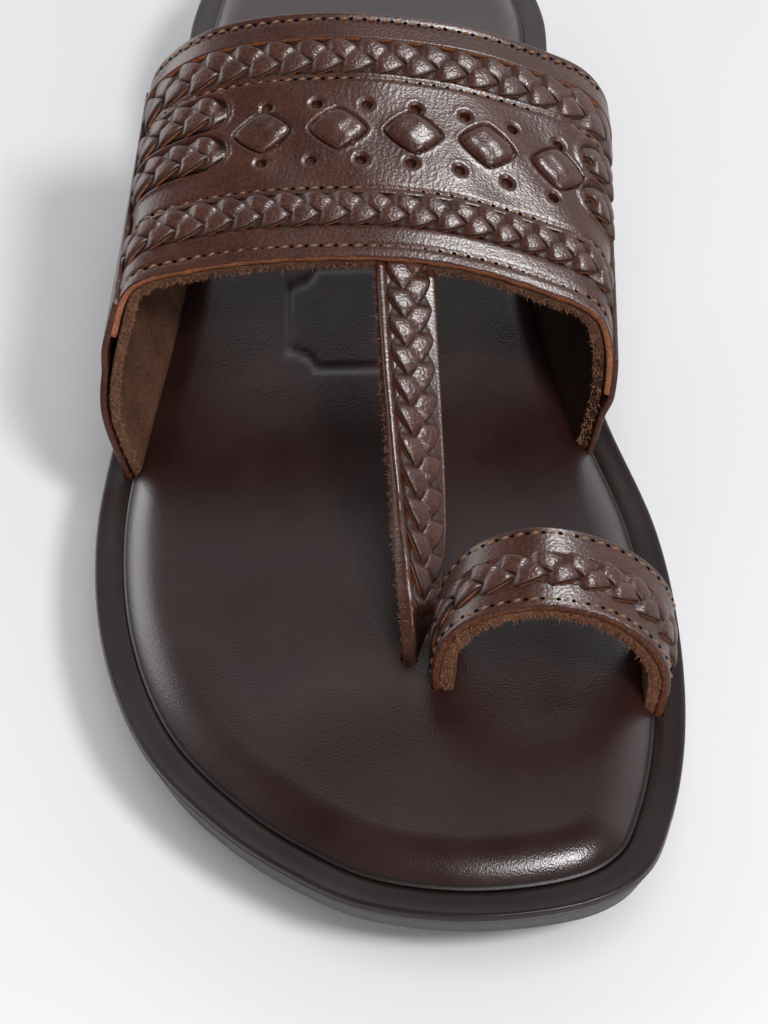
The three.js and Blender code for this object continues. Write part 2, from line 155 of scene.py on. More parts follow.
LOOP_FRONT = [
    (9.4, 44.4, 10.5), (7.9, 43.6, 17.5), (7.7, 43.7, 23), (9.6, 43.9, 29.4), (14.2, 44, 33.9),
    (25, 44.3, 36.3), (36, 43.8, 33.8), (42.8, 42.5, 28.6), (46, 41.4, 22.4), (45.7, 40.4, 15.8),
    (44.2, 39.8, 10.5),
]
LOOP_REAR = [
    (11, 58.6, 10.5), (9.8, 58.4, 18), (9.6, 58.6, 24), (11.8, 59, 30.8), (16.4, 59, 36.2),
    (26, 59, 39.3), (38.2, 58.8, 35.2), (45.6, 58.2, 28.4), (48.2, 57.6, 21.8), (46.4, 57, 15.4),
    (44.6, 56.6, 10.5),
]
# The centre strap's middle: x, distance back, height, width, turn towards the big toe.
THONG_ROWS = [
    (5.5, 134, 48.5, 11, 6), (5.7, 121, 44.4, 10.9, 12), (6.2, 101, 38.2, 10.7, 19),
    (6.7, 88, 33.8, 10.6, 26), (7.2, 73, 28.2, 10.5, 36), (7.2, 63, 24, 10.3, 51),
    (6.7, 55, 19, 9.7, 71), (6.4, 51, 11, 9, 80),
]


# ---------- Curves and faces ----------
def smooth(value, low, high):
    share = np.clip((value - low) / (high - low), 0, 1)
    return share * share * (3 - 2 * share)


def bump(distance, width):
    """A soft ridge, 1 at no distance and fading out past its width."""
    return np.exp(-(distance / width) ** 2)


def spline(points, samples=1600, closed=False):
    """A curve through points, its samples spread evenly over the spans."""
    points = np.array(points, float)
    if closed:
        padded = np.vstack([points[-1:], points, points[:2]])
    else:
        before = 2 * points[0] - points[1]
        after = 2 * points[-1] - points[-2]
        padded = np.vstack([before, points, after])
    spans = len(padded) - 3
    place = np.linspace(0, spans, samples + 1)
    first = np.minimum(place.astype(int), spans - 1)
    t = (place - first)[:, None]
    a, b, c, d = (padded[first + k] for k in range(4))
    ab, bc, cd = (np.sqrt(np.linalg.norm(q - p, axis=1))[:, None] for p, q in ((a, b), (b, c), (c, d)))
    leave = ((b - a) / ab - (c - a) / (ab + bc) + (c - b) / bc) * bc
    arrive = ((c - b) / bc - (d - b) / (bc + cd) + (d - c) / cd) * bc
    square = 3 * (c - b) - 2 * leave - arrive
    cube = 2 * (b - c) + leave + arrive
    return b + t * leave + t ** 2 * square + t ** 3 * cube


def placed(rows):
    return [(x, back - SOLE_LENGTH / 2, z) for x, back, z in rows]


def unit(vectors):
    return vectors / np.linalg.norm(vectors, axis=1)[:, None]


def along_curve(curve):
    steps = np.linalg.norm(np.diff(curve, axis=0), axis=1)
    return np.concatenate([[0], np.cumsum(steps)])


class StrapFace:
    """A strap's outer face between its front and rear edge curves."""

    def __init__(self, front_rows, rear_rows, flat_width):
        self.flat_width = flat_width
        self.front = spline(placed(front_rows))
        self.rear = spline(placed(rear_rows))
        self.distance = along_curve((self.front + self.rear) / 2)

    def edge(self, curve, distance):
        return np.stack([np.interp(distance, self.distance, curve[:, k]) for k in range(3)], axis=1)

    def __call__(self, d, w, h):
        step = 0.15
        across = w[:, None]

        def on_face(distance):
            front = self.edge(self.front, distance)
            rear = self.edge(self.rear, distance)
            return front * (1 - across) + rear * across

        last = self.distance[-1] - step
        middle = np.clip(d, step, last)
        ahead = on_face(middle + step) - on_face(middle - step)
        sideways = self.edge(self.rear, middle) - self.edge(self.front, middle)
        normal = unit(np.cross(ahead, sideways))
        return on_face(d) + normal * h[:, None]


class ThongFace:
    """The centre strap's outer face, which turns towards the big toe on its way down."""

    def __init__(self, rows, flat_width):
        self.flat_width = flat_width
        self.middle = spline(placed([row[:3] for row in rows]))
        self.distance = along_curve(self.middle)
        place = np.linspace(0, len(rows) - 1, len(self.middle))
        first = np.minimum(place.astype(int), len(rows) - 2)
        t = place - first
        t = (t + smooth(t, 0, 1)) / 2
        sizes = np.array([row[3:] for row in rows], float)
        self.width, self.turn = (sizes[first] * (1 - t[:, None]) + sizes[first + 1] * t[:, None]).T
        self.tangent = unit(np.gradient(self.middle, axis=0))

    def __call__(self, d, w, h):
        def read(table):
            return np.interp(d, self.distance, table)

        point = np.stack([read(column) for column in self.middle.T], axis=1)
        along = unit(np.stack([read(column) for column in self.tangent.T], axis=1))
        level = unit(np.cross([1.0, 0, 0], along))
        across = np.cross(along, level)
        turn = -np.radians(read(self.turn))[:, None]
        across = across * np.cos(turn) + np.cross(along, across) * np.sin(turn)
        normal = np.cross(along, across)
        return point + across * ((w - 0.5) * read(self.width))[:, None] + normal * h[:, None]


band_face = StrapFace(BAND_FRONT, BAND_REAR, BAND_WIDTH)
loop_face = StrapFace(LOOP_FRONT, LOOP_REAR, LOOP_WIDTH)
thong_face = ThongFace(THONG_ROWS, THONG_WIDTH)
outline = spline(
    [(TOE_TIP_X, -SOLE_LENGTH / 2)]
    + [(medial, back - SOLE_LENGTH / 2) for back, lateral, medial in SOLE_ROWS]
    + [(HEEL_TIP_X, SOLE_LENGTH / 2)]
    + [(-lateral, back - SOLE_LENGTH / 2) for back, lateral, medial in reversed(SOLE_ROWS)],
    samples=RING_POINTS, closed=True)


# ---------- Modelling helpers ----------
def deselect():
    bpy.ops.object.select_all(action="DESELECT")


def new_piece(name):
    piece = bpy.context.object
    piece.name = name
    piece.data.name = name
    return piece


def select(*objects):
    deselect()
    for item in objects:
        item.select_set(True)
    bpy.context.view_layer.objects.active = objects[0]


def read_points(piece):
    points = np.zeros(len(piece.data.vertices) * 3)
    piece.data.vertices.foreach_get("co", points)
    return points.reshape(-1, 3)


def move_points(piece, points):
    piece.data.vertices.foreach_set("co", np.asarray(points, float).ravel())
    piece.data.update()


def shift(piece, x, y, z):
    move_points(piece, read_points(piece) + (x, y, z))


def apply(piece, kind, **settings):
    select(piece)
    modifier = piece.modifiers.new(kind.title(), kind)
    for name, value in settings.items():
        setattr(modifier, name, value)
    bpy.ops.object.modifier_apply(modifier=modifier.name)


def join(name, pieces):
    select(*pieces)
    bpy.ops.object.join()
    return new_piece(name)


def in_edit(piece, *steps):
    """Runs edit-mode steps on everything in a piece."""
    select(piece)
    bpy.ops.object.mode_set(mode="EDIT")
    bpy.ops.mesh.select_all(action="SELECT")
    for step in steps:
        step()
    bpy.ops.object.mode_set(mode="OBJECT")


def sheet(name, along, across, cell_along, cell_across):
    """A flat sheet with its outer face at z = 0."""
    deselect()
    length = along[1] - along[0]
    width = across[1] - across[0]
    columns = max(1, round(length / cell_along))
    rows = max(1, round(width / cell_across))
    middle = (sum(along) / 2, sum(across) / 2, 0)
    bpy.ops.mesh.primitive_grid_add(x_subdivisions=columns, y_subdivisions=rows, size=1, location=middle)
    bpy.ops.transform.resize(value=(length, width, 1))
    bpy.ops.object.transform_apply(location=True, rotation=True, scale=True)
    return new_piece(name)


def thicken(piece, thickness, softness, segments=2):
    """Gives a sheet its thickness below its face, and softens its cut edges."""
    apply(piece, "SOLIDIFY", thickness=thickness, offset=-1)
    apply(piece, "BEVEL", width=softness, segments=segments, limit_method="ANGLE",
          angle_limit=CUT_ABOVE)


def mark(piece, name, values):
    """Keeps a number at every point of a piece, for its material to read."""
    made = piece.data.attributes.new(name=name, type="FLOAT", domain="POINT")
    made.data.foreach_set("value", np.clip(values, 0, 1))


def record_flat_place(piece, raw_below, raw_share=1.0):
    """Keeps a piece's flat place as its UV map and marks its cut sides as raw."""
    mesh = piece.data
    points = read_points(piece)
    while mesh.uv_layers:
        mesh.uv_layers.remove(mesh.uv_layers[0])
    corners = np.zeros(len(mesh.loops), int)
    mesh.loops.foreach_get("vertex_index", corners)
    layer = mesh.uv_layers.new(name="flat")
    layer.data.foreach_set("uv", points[corners][:, :2].ravel())
    mark(piece, "raw", raw_share * smooth(-points[:, 2], raw_below * 0.4, raw_below))


def leather(name, along, across, cell_along, cell_across, thickness, softness=0.28, raw_below=0.3,
            raw_share=1.0):
    piece = sheet(name, along, across, cell_along, cell_across)
    thicken(piece, thickness, softness)
    record_flat_place(piece, raw_below, raw_share)
    return piece


def relieve(piece, relief, floor):
    """Raises and lowers a flat piece by a function of its place, no lower than a floor."""
    points = read_points(piece)
    lift = relief(points[:, 0], points[:, 1])
    # Painted shade: the sunken places are marked for the material to darken, as the shade in the
    # creases.
    mark(piece, "crease", 0.8 * smooth(-lift, 0.3, 0.75) * (points[:, 2] > -0.3))
    lowest = np.minimum(points[:, 2], floor)
    points[:, 2] = np.maximum(points[:, 2] + lift, lowest)
    move_points(piece, points)


def fray(piece, size):
    """Uneven cutting along the front edge."""
    points = read_points(piece)
    x, y, z = points.T
    uneven = np.sin(x * 2.3) * np.sin(x * 0.71 + 1) + 0.6 * np.sin(x * 7.1 + 2 * z)
    points[:, 1] = y + size * uneven * (1 - smooth(y, 0, 1.5))
    move_points(piece, points)


def wrap(piece, face):
    """Lays a flat piece on a strap's face, in metres."""
    x, y, z = read_points(piece).T
    move_points(piece, face(x, y / face.flat_width, z) * MM)


straps = bpy.data.collections.new("straps")
underfoot = bpy.data.collections.new("underfoot")


def hand_over(piece, finish, slot, *nodes):
    """Gives a finished piece its material and its place in the frame."""
    select(piece)
    bpy.ops.object.shade_smooth_by_angle(angle=SMOOTH_BELOW)
    piece.data.materials.clear()
    piece.data.materials.append(finish)
    if slot in ("strap", "plait"):
        straps.objects.link(piece)
    if slot in ("sole", "footbed"):
        underfoot.objects.link(piece)
    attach(piece, "root")
    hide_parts(*nodes)


def fit(piece, face, finish, slot, *nodes):
    """Lays a flat piece on its strap and hands it over."""
    wrap(piece, face)
    hand_over(piece, finish, slot, *nodes)


# ---------- Shader helpers ----------
class Value:
    """A number that varies over a surface."""

    def __init__(self, finish, socket):
        self.finish = finish
        self.socket = socket

    def __add__(self, other):
        return self.finish.maths("ADD", self, other)

    def __sub__(self, other):
        return self.finish.maths("SUBTRACT", self, other)

    def __rsub__(self, other):
        return self.finish.maths("SUBTRACT", other, self)

    def __mul__(self, other):
        return self.finish.maths("MULTIPLY", self, other)

    __radd__ = __add__
    __rmul__ = __mul__

    def ramp(self, low, high, to_low=0.0, to_high=1.0):
        settings = {"interpolation_type": "SMOOTHSTEP"}
        sockets = {"Value": self, "From Min": low, "From Max": high, "To Min": to_low, "To Max": to_high}
        return self.finish.node("ShaderNodeMapRange", settings, sockets)["Result"]


class Nodes:
    """A tree of shader nodes."""

    def __init__(self, tree):
        self.tree = tree

    def plug(self, target, value):
        if isinstance(value, Value):
            value = value.socket
        if isinstance(value, bpy.types.NodeSocket):
            self.tree.links.new(value, target)
        else:
            target.default_value = value

    def node(self, kind, settings, sockets):
        made = self.tree.nodes.new(kind)
        for name, value in settings.items():
            setattr(made, name, value)
        for name, value in sockets.items():
            self.plug(made.inputs[name], value)
        return {output.name: Value(self, output) for output in made.outputs if output.enabled}

    def maths(self, operation, first, second):
        return self.node("ShaderNodeMath", {"operation": operation}, {0: first, 1: second})["Value"]

    def blend(self, share, first, second):
        made = self.tree.nodes.new("ShaderNodeMix")
        made.data_type = "RGBA"
        self.plug(made.inputs[0], share)
        self.plug(made.inputs[6], first)
        self.plug(made.inputs[7], second)
        return Value(self, made.outputs[2])


class Finish(Nodes):
    """One material, built from nodes."""

    def __init__(self, name, specular):
        self.material = bpy.data.materials.new(name)
        self.material.use_nodes = True
        super().__init__(self.material.node_tree)
        self.shader = self.tree.nodes["Principled BSDF"]
        self.shader.inputs["Specular IOR Level"].default_value = specular

    def scaled(self, place, scale):
        sockets = {"Vector": place, "Scale": scale}
        return self.node("ShaderNodeMapping", {"vector_type": "POINT"}, sockets)["Vector"]

    def place(self, scale=1 / MM):
        """The place on the piece, in millimetres unless scaled otherwise."""
        return self.scaled(self.node("ShaderNodeTexCoord", {}, {})["Object"], (scale, scale, scale))

    def flat_place(self, scale):
        """The place on the flat leather, in scaled millimetres."""
        return self.scaled(self.node("ShaderNodeUVMap", {"uv_map": "flat"}, {})["UV"], scale)

    def noise(self, place, scale, detail=2.0, roughness=0.5, distortion=0.0):
        sockets = {"Vector": place, "Scale": scale, "Detail": detail, "Roughness": roughness,
                   "Distortion": distortion}
        return self.node("ShaderNodeTexNoise", {}, sockets)["Fac"]

    def cells(self, place, scale):
        sockets = {"Vector": place, "Scale": scale}
        return self.node("ShaderNodeTexVoronoi", {"feature": "SMOOTH_F1"}, sockets)["Distance"]

    def attribute(self, name):
        return self.node("ShaderNodeAttribute", {"attribute_name": name}, {})["Fac"]

    def finish_with(self, tint, roughness, height, depth):
        """Feeds the shader: colour, roughness, and a height in shares of a depth in metres."""
        self.plug(self.shader.inputs["Base Color"], tint)
        self.plug(self.shader.inputs["Roughness"], roughness)
        sockets = {"Height": height, "Distance": depth, "Strength": 1.0}
        self.plug(self.shader.inputs["Normal"], self.node("ShaderNodeBump", {}, sockets)["Normal"])
        return self.material


def colour(red, green, blue):
    return (red, green, blue, 1.0)


CUT_EDGE_LIGHT = colour(0.3, 0.102, 0.038)
CUT_EDGE_DARK = colour(0.11, 0.036, 0.016)
# Painted shade: near-black colours blended in where a piece is marked as sunken, in a gap, or in shade.
STRAP_PAINTED_SHADE = colour(0.004, 0.002, 0.0015)
SUEDE_PAINTED_SHADE = colour(0.006, 0.003, 0.002)
FOOTBED_PAINTED_SHADE = colour(0.006, 0.003, 0.0028)


def grain_leather(name, dark, light, grain_size, depth, roughness):
    """Oiled full-grain leather: mottled colour, pebbled grain, fine wrinkles, raw cut sides."""
    finish = Finish(name, specular=0.36)
    flat = finish.flat_place((1, 1, 1))
    mottle = finish.noise(flat, 0.11, detail=4.0, roughness=0.6)
    specks = finish.noise(flat, 1.7, detail=3.0, roughness=0.7)
    pebbles = finish.cells(flat, 1 / grain_size).ramp(0.0, 0.75)
    tone = (mottle * 0.55 + specks * 0.2 + pebbles * 0.25).ramp(0.34, 0.7)
    face = finish.blend(tone, dark, light)
    solid = finish.place()
    fibre = finish.noise(solid, 2.6, detail=4.0, roughness=0.75)
    cut = finish.blend(fibre.ramp(0.35, 0.65), CUT_EDGE_DARK, CUT_EDGE_LIGHT)
    raw = (finish.attribute("raw") + (fibre - 0.5) * 0.35).ramp(0.35, 0.65)
    wrinkle_place = finish.flat_place((1.5, 0.45, 1))
    wrinkles = finish.noise(wrinkle_place, 1.1, detail=3.0, roughness=0.6, distortion=0.6)
    grain = pebbles * 0.7 + wrinkles * 0.15
    height = grain * (1 - raw) + fibre * raw * 2.4
    # Painted shade: the colour darkens towards near black at the crease mark, in creases, gaps and under
    # other strands.
    crease = finish.attribute("crease")
    tint = finish.blend(crease * (1 - raw), finish.blend(raw, face, cut), STRAP_PAINTED_SHADE)
    shine = roughness + (specks - 0.5) * 0.2 + raw * 0.4 + crease * 0.3
    return finish.finish_with(tint, shine, height, depth)


def suede(name, dark, light):
    """Napped leather, with short fibres and hardly any shine."""
    finish = Finish(name, specular=0.03)
    solid = finish.place()
    nap = finish.noise(solid, 1.9, detail=5.0, roughness=0.8)
    blotch = finish.noise(solid, 0.16, detail=3.0)
    tone = (nap * 0.75 + blotch * 0.25).ramp(0.34, 0.66)
    # Painted shade: the colour darkens at the crease mark, which on the band lining darkens its medial
    # end.
    tint = finish.blend(finish.attribute("crease"), finish.blend(tone, dark, light), SUEDE_PAINTED_SHADE)
    return finish.finish_with(tint, 0.92, nap, 0.0005)


def wrapped_leather():
    """The footbed's cover: smooth dark leather with a very fine pebble."""
    finish = Finish("footbed_leather", specular=0.5)
    solid = finish.place()
    pebbles = finish.cells(solid, 3.4)
    mottle = finish.noise(solid, 0.05, detail=3.0)
    # Painted shade: the crease mark darkens the colour low on the footbed's edge, in the groove by the
    # rim.
    crease = finish.attribute("crease")
    dark = colour(0.0165, 0.0052, 0.0046)
    light = colour(0.024, 0.0088, 0.008)
    tone = finish.blend(mottle.ramp(0.35, 0.65), dark, light)
    shine = mottle.ramp(0.3, 0.7, 0.24, 0.3) + crease * 0.22
    tint = finish.blend(crease * 0.8, tone, FOOTBED_PAINTED_SHADE)
    return finish.finish_with(tint, shine, pebbles + finish.noise(solid, 0.8) * 0.08, 0.000034)


def moulded_sole():
    """The sole's moulded rubber: a smooth dark rim over a greyer, matter wall."""
    finish = Finish("moulded_sole", specular=0.36)
    solid = finish.place()
    speck = finish.noise(solid, 1.4, detail=3.0, roughness=0.7)
    cloud = finish.noise(solid, 0.06, detail=3.0)
    wall = finish.attribute("wall")
    rim_dark = colour(0.0135, 0.0068, 0.0062)
    rim_light = colour(0.021, 0.0118, 0.0108)
    rim = finish.blend(cloud.ramp(0.35, 0.65), rim_dark, rim_light)
    wall_dark = colour(0.045, 0.04, 0.039)
    wall_light = colour(0.067, 0.062, 0.061)
    side = finish.blend(speck.ramp(0.3, 0.7), wall_dark, wall_light)
    shine = 0.3 + speck * 0.08 + wall * 0.26
    return finish.finish_with(finish.blend(wall, rim, side), shine, speck, 0.00004)


def plain_finish(name, tone, roughness, depth=0.00004, specular=0.3):
    finish = Finish(name, specular)
    solid = finish.place()
    speck = finish.noise(solid, 3.0, detail=3.0, roughness=0.7)
    darker = tuple(channel * 0.6 for channel in tone[:3]) + (1.0,)
    return finish.finish_with(finish.blend(speck.ramp(0.3, 0.7), darker, tone), roughness, speck, depth)


strap_leather = grain_leather(
    "strap_leather", colour(0.034, 0.01, 0.006), colour(0.068, 0.023, 0.014), 0.45, 0.000033, 0.31)
plait_leather = grain_leather(
    "plait_leather", colour(0.036, 0.011, 0.0066), colour(0.078, 0.027, 0.0166), 0.45, 0.00006, 0.33)
lining_suede = suede("lining_suede", colour(0.055, 0.025, 0.016), colour(0.165, 0.082, 0.052))
loop_suede = suede("loop_suede", colour(0.065, 0.026, 0.014), colour(0.22, 0.1, 0.058))
footbed_leather = wrapped_leather()
sole_rubber = moulded_sole()
thread = plain_finish("tan_thread", colour(0.24, 0.13, 0.07), 0.65, 0.00012)
# Painted shade: a near-black finish for the needle holes, standing for the shade inside them.
painted_hole_shade = plain_finish("painted_hole_shade", colour(0.0025, 0.0015, 0.0012), 0.9, 0.00002, 0.05)
loose_fibre = plain_finish("loose_fibre", colour(0.3, 0.14, 0.08), 0.85)


# ---------- Camera, light and floor ----------
def add_camera():
    """The camera looks down on the toes from the front."""
    place = Vector((-0.3, -351.7, 303.8)) * MM
    heading = math.radians(0.21)
    drop = math.radians(44.2)
    level = math.cos(drop)
    forward = Vector((level * math.sin(heading), level * math.cos(heading), -math.sin(drop)))
    tilt = Matrix.Rotation(math.radians(-1.12), 4, "Z").to_quaternion()
    turned = forward.to_track_quat("-Z", "Y") @ tilt
    data = bpy.data.cameras.new("camera")
    data.lens = 82.3
    data.sensor_width = 36
    data.clip_start = 0.01
    camera = bpy.data.objects.new("camera", data)
    camera.location = place
    camera.rotation_euler = turned.to_euler()
    bpy.context.scene.collection.objects.link(camera)
    bpy.context.scene.camera = camera


def add_softbox(name, place, size, power, in_shade=True, in_shine=True, only_on=None):
    data = bpy.data.lights.new(name, "AREA")
    data.shape = "DISK"
    data.size = size
    data.energy = power
    light = bpy.data.objects.new(name, data)
    light.location = place
    light.visible_diffuse = in_shade
    light.visible_glossy = in_shine
    if only_on:
        light.light_linking.receiver_collection = only_on
    light.rotation_euler = (-Vector(place)).to_track_quat("-Z", "Y").to_euler()
    bpy.context.scene.collection.objects.link(light)


def add_room():
    """A pale room: dim overhead, bright towards the horizon, brightest behind the heel."""
    world = bpy.data.worlds.new("pale_room")
    bpy.context.scene.world = world
    world.use_nodes = True
    room = Nodes(world.node_tree)
    direction = room.node("ShaderNodeTexCoord", {}, {})["Generated"]
    axes = room.node("ShaderNodeSeparateXYZ", {}, {"Vector": direction})
    low = 1 - axes["Z"].ramp(0.44, 0.9)
    behind = axes["Y"].ramp(-0.3, 0.75, 0.12, 1.0)
    radiance = room.blend(low * behind, colour(0.09, 0.09, 0.095), colour(1.25, 1.25, 1.3))
    room.plug(world.node_tree.nodes["Background"].inputs["Color"], radiance)


def add_floor():
    deselect()
    bpy.ops.mesh.primitive_plane_add(size=6)
    floor = new_piece("floor")
    finish = Finish("floor_paper", specular=0.1)
    fine = finish.noise(finish.place(1), 3.0)
    tone = finish.blend(fine, colour(0.80, 0.80, 0.805), colour(0.81, 0.81, 0.815))
    floor.data.materials.append(finish.finish_with(tone, 0.9, fine, 0.0))
    floor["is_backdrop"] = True


add_camera()
add_room()
add_floor()
add_softbox("key", (0.77, -0.77, 1.22), 0.36, 15)
add_softbox("strap_shine", (0.6, 0.28, 1.44), 0.3, 25, in_shade=False, only_on=straps)
add_softbox("toe_shine", (0.47, -0.86, 1.25), 0.42, 11, in_shade=False, only_on=underfoot)
add_softbox("side_shine", (-1.15, 0.95, 0.4), 1.0, 7, in_shade=False)
add_softbox("fill", (0.2, -0.6, 2.1), 1.6, 14, in_shine=False)
add_softbox("front_fill", (0.1, -1.9, 0.75), 1.2, 12, in_shine=False)
bpy.context.scene.view_settings.view_transform = "Standard"


# ---------- Sole and footbed ----------
def rim_top(y):
    back = y + SOLE_LENGTH / 2
    toe = TOE_RISE * np.maximum(0, 1 - back / TOE_RISE_LENGTH) ** 2
    return RIM_HEIGHT + toe + HEEL_RISE * smooth(back, HEEL_RISE_FROM, HEEL_RISE_TO)


def tread_height(y, x):
    back = y + SOLE_LENGTH / 2
    spring = TOE_SPRING * np.maximum(0, 1 - back / TOE_SPRING_LENGTH) ** 1.8
    rise = smooth(back, ARCH_FROM, ARCH_FROM + ARCH_EASE)
    arch = rise * (1 - smooth(back, HEEL_BREAST - BREAST_EASE, HEEL_BREAST))
    rolled = np.maximum(0, (back - SOLE_LENGTH + HEEL_ROLL_LENGTH) / HEEL_ROLL_LENGTH)
    roll = HEEL_ROLL * rolled ** 2
    return spring + ARCH_LIFT * arch * (1 + 0.3 * x / 40) + roll


def ring(inset, height):
    """The outline moved inwards, at a height that is a function of place."""
    tangent = np.roll(outline[:-1], -1, axis=0) - np.roll(outline[:-1], 1, axis=0)
    tangent = unit(tangent)
    x = outline[:-1, 0] - tangent[:, 1] * inset
    y = outline[:-1, 1] + tangent[:, 0] * inset
    return np.stack([x, y, height(y, x)], axis=1)


def skin(name, rings):
    """A skin through rings, made from a sheet that is rolled up."""
    levels = len(rings)
    piece = sheet(name, (0, RING_POINTS), (0, levels - 1), 1, 1)
    turn, level, _ = np.rint(read_points(piece)).astype(int).T
    move_points(piece, np.array(rings)[level, turn % RING_POINTS])
    return piece


def deck(name, edge, height, columns, faces_up):
    """A surface inside a ring, its rows running straight across from side to side."""
    half = RING_POINTS // 2
    piece = sheet(name, (0, columns), (0, half), 1, 1)
    column, row, _ = np.rint(read_points(piece)).astype(int).T
    share = (column / columns)[:, None]
    medial = edge[row % RING_POINTS]
    lateral = edge[(RING_POINTS - row) % RING_POINTS]
    points = lateral * (1 - share) + medial * share
    inside = (column > 0) & (column < columns) & (row > 0) & (row < half)
    points[inside, 2] = height(points[inside, 1], points[inside, 0], column[inside] / columns)
    move_points(piece, points)
    if not faces_up:
        in_edit(piece, bpy.ops.mesh.flip_normals)
    return piece


def closed_solid(name, rings, lower, upper, lower_columns, upper_columns):
    parts = [
        skin(name, rings),
        deck("lower", rings[0], lower, lower_columns, False),
        deck("upper", rings[-1], upper, upper_columns, True),
    ]
    piece = join(name, parts)
    in_edit(
        piece,
        lambda: bpy.ops.mesh.remove_doubles(threshold=0.001),
        lambda: bpy.ops.mesh.dissolve_degenerate(threshold=0.0005),
        lambda: bpy.ops.mesh.normals_make_consistent(inside=False),
    )
    return piece


def pad_top(y, x):
    back = y + SOLE_LENGTH / 2
    cup = HEEL_CUP * smooth(back, 195, 235) * (1 - (x / 40) ** 2)
    return rim_top(y) + PAD_HEIGHT - cup


def stamp(y, x):
    """A plain plaque with scooped corners, pressed into the footbed as an outline."""
    across = np.abs(x - STAMP_X) - STAMP_HALF_WIDTH
    along = np.abs(y - STAMP_Y) - STAMP_HALF_LENGTH
    edge = np.maximum(np.maximum(across, along), STAMP_SCOOP - np.hypot(across, along))
    return -0.28 * bump(edge, 0.68) - 0.05 * smooth(-edge, -0.4, 0.6)


def footbed_height(y, x, share):
    back = y + SOLE_LENGTH / 2
    ends = smooth(back, 17, 45) * smooth(SOLE_LENGTH - back, 12, 40)
    crown = PAD_CROWN * 4 * share * (1 - share) * ends
    toe_dip = -0.9 * bump((x - 27) / 16, 1) * bump((back - 40) / 17, 1)
    ball_dip = -0.8 * bump((x - 4) / 30, 1) * bump((back - 92) / 26, 1)
    small_toes = -0.5 * bump((x + 14) / 16, 1) * bump((back - 52) / 14, 1)
    fade = smooth(np.minimum(share, 1 - share), 0, 0.14) * smooth(back, 17, 40)
    slit = -0.5 * bump((x - 8) / 5, 1) * bump((back - 52) / 9, 1)
    return pad_top(y, x) + crown + (toe_dip + ball_dip + small_toes + stamp(y, x)) * fade + slit


def footbed_rings():
    """The wrapped edge: a thin turned-out lip on the rim, then a full rounded shoulder."""
    inner = RIM_WIDTH + CLEARANCE

    def level(inset, rise):
        def height(y, x):
            cup = pad_top(y, x) - rim_top(y) - PAD_HEIGHT
            return rim_top(y) + rise + cup * max(0, rise / PAD_HEIGHT) ** 3
        return ring(inner + inset, height)

    rings = [
        level(0.8, CLEARANCE - SEAT_DEPTH), level(0.1, -0.8), level(-0.25, -0.4), level(-0.38, -0.26),
        level(-0.42, -0.14), level(-0.36, -0.02), level(-0.2, 0.06), level(0.0, 0.2), level(0.1, 0.4),
    ]
    steepest = math.radians(SHOULDER_SLOPE)
    levels = 18
    for i in range(levels + 1):
        slope = steepest * (1 - i / levels) ** 1.2
        inset = 0.2 + SHOULDER_WIDTH * (1 - math.sin(slope) / math.sin(steepest))
        drop = SHOULDER_RISE * (1 - math.cos(slope)) / (1 - math.cos(steepest))
        rings.append(level(inset, PAD_HEIGHT - drop))
    return rings


def outsole_rings():
    def leaning(extra, lift):
        top = rim(0, 0)
        reach = 10
        lean = WALL_LEAN * (rim_top(top[:, 1]) - tread_height(top[:, 1], top[:, 0])) + extra
        moved = top + (rim(reach, 0) - top) * (lean / reach)[:, None]
        moved[:, 2] = tread_height(moved[:, 1], moved[:, 0]) + lift
        return moved

    def rim(inset, drop):
        return ring(inset, lambda y, x: rim_top(y) - drop)

    foot = leaning(0, 1.6)
    top = rim(0, 1.75)
    wall = [foot * (1 - share) + top * share for share in (0.25, 0.5, 0.75)]
    # From the groove under the rim, over the rim, to the seat: inset and drop below the rim's top.
    edge = [
        (-0.02, 1.5), (0.2, 1.38), (0.24, 1.2), (-0.04, 1.08), (-0.02, 0.55), (0.02, 0.24), (0.12, 0.07),
        (0.32, 0.0), (0.8, 0.02), (1.3, 0.12), (2.4, 0.12), (3.4, 0.12), (4.2, 0.14), (4.8, 0.3),
        (RIM_WIDTH, 0.5), (RIM_WIDTH + 0.2, 0.9), (RIM_WIDTH + 0.3, SEAT_DEPTH),
    ]
    ground = [leaning(1.7, 0), leaning(0.8, 0.35), leaning(0.25, 0.9)]
    return [*ground, foot, *wall, top, *(rim(inset, drop) for inset, drop in edge)]


def slot_form(face, along, reach_under):
    """The room that a strap's end takes in the sole and footbed."""
    width = face.flat_width
    side_room = 0.15
    form = sheet("slot_form", along, (-side_room, width + side_room), 2, width / 8)
    shift(form, 0, 0, SLOT_ROOM)
    apply(form, "SOLIDIFY", thickness=reach_under + 2 * SLOT_ROOM, offset=-1)
    x, y, z = read_points(form).T
    move_points(form, face(x, y / width, z))
    return form


def cut_slots(piece):
    wall = LEATHER + CLEARANCE + LINING
    forms = [
        slot_form(band_face, (0, BAND_SLOT_REACH), wall),
        slot_form(band_face, (BAND_LENGTH - BAND_SLOT_REACH, BAND_LENGTH), wall),
        slot_form(loop_face, (0, LOOP_SLOT_REACH), LOOP_THICKNESS),
        slot_form(loop_face, (LOOP_LENGTH - LOOP_SLOT_REACH, LOOP_LENGTH), LOOP_THICKNESS),
        slot_form(thong_face, (THONG_LENGTH - THONG_SLOT_REACH, THONG_LENGTH + 1), THONG_THICKNESS),
    ]
    for form in forms:
        apply(piece, "BOOLEAN", operation="DIFFERENCE", object=form, solver="EXACT")
        bpy.data.objects.remove(form)


def to_metres(piece):
    move_points(piece, read_points(piece) * MM)


